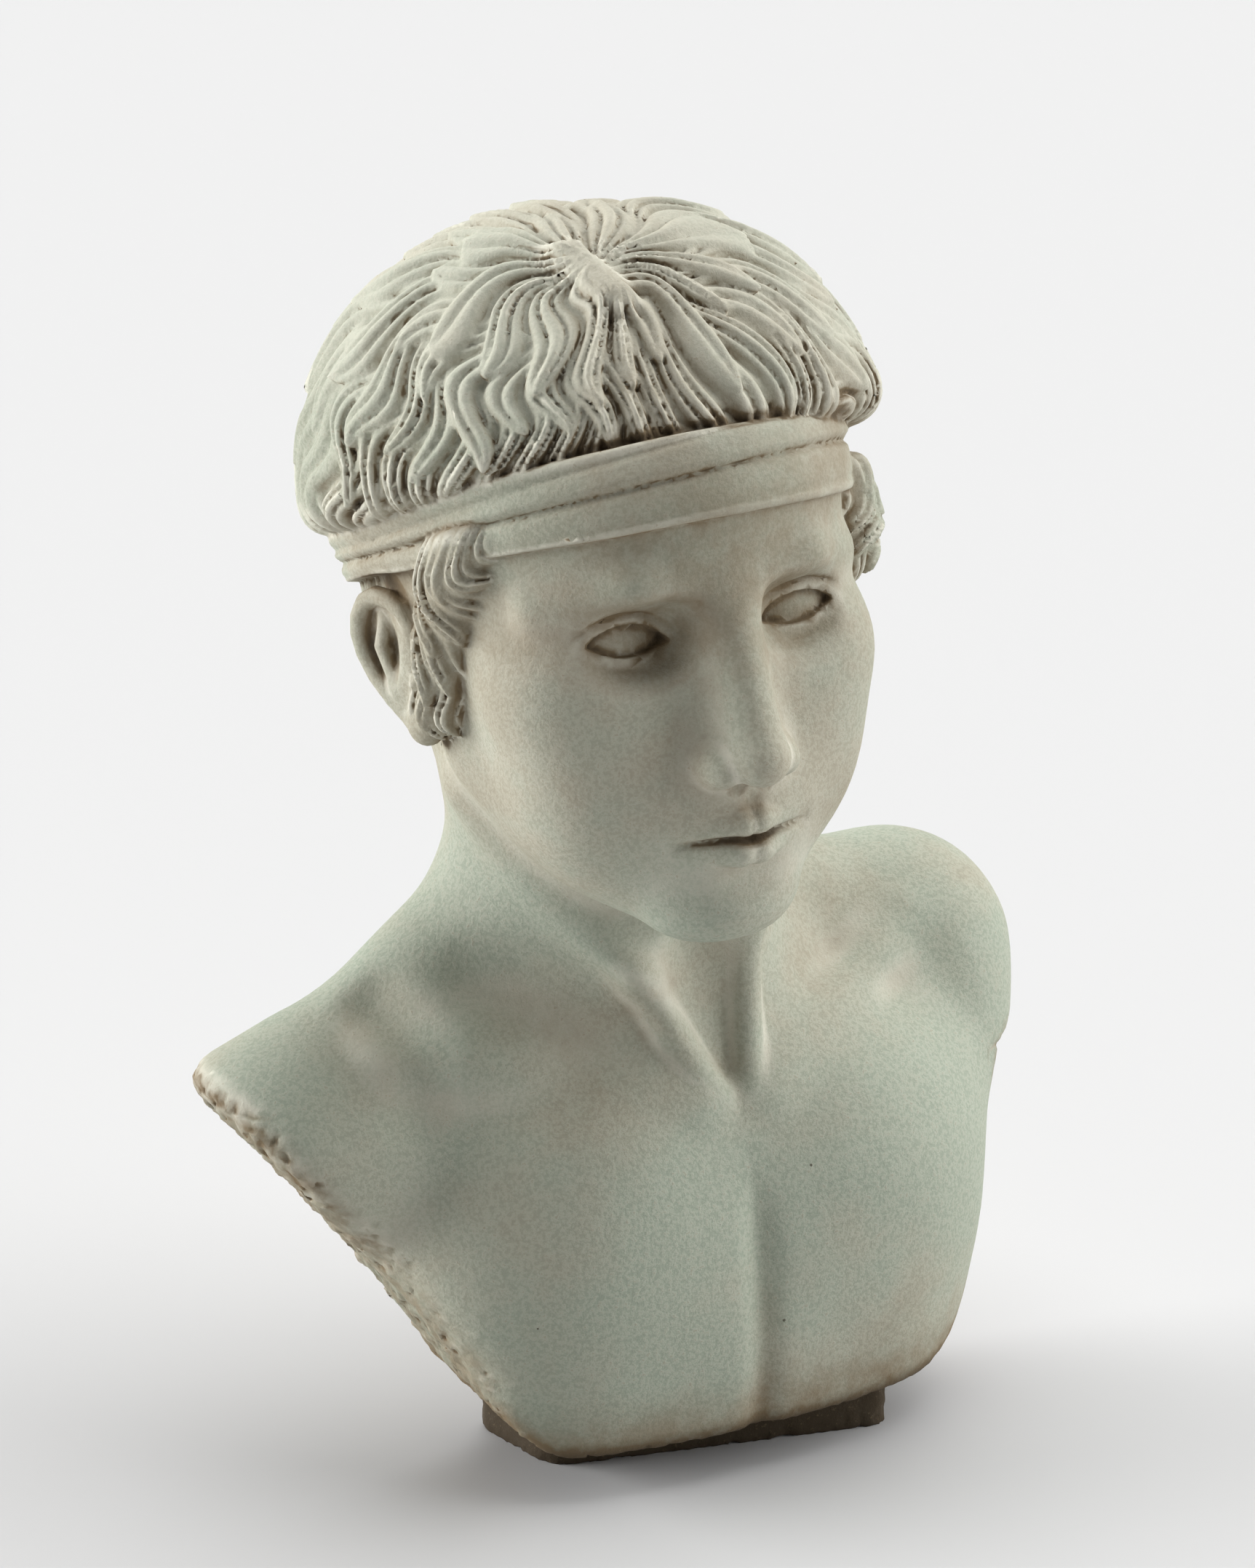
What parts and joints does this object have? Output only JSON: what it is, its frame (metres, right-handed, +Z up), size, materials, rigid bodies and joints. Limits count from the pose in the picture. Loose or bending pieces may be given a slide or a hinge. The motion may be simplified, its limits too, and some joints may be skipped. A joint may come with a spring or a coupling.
{
  "type": "plaster bust of an athlete",
  "caption": "Plaster bust of a youth with a headband round wavy hair, cut off in a slope below the shoulders, on a low foot of the same cast.",
  "frame": {"origin": "middle of the foot's underside", "axes": "+Z up; the chest faces -Y; the figure's left side is +X"},
  "size_m": [0.3271, 0.2368, 0.4433],
  "materials": {
    "plaster": "matte"
  },
  "bodies": {
    "root": {"bust": "plaster"}
  },
  "joints": []
}
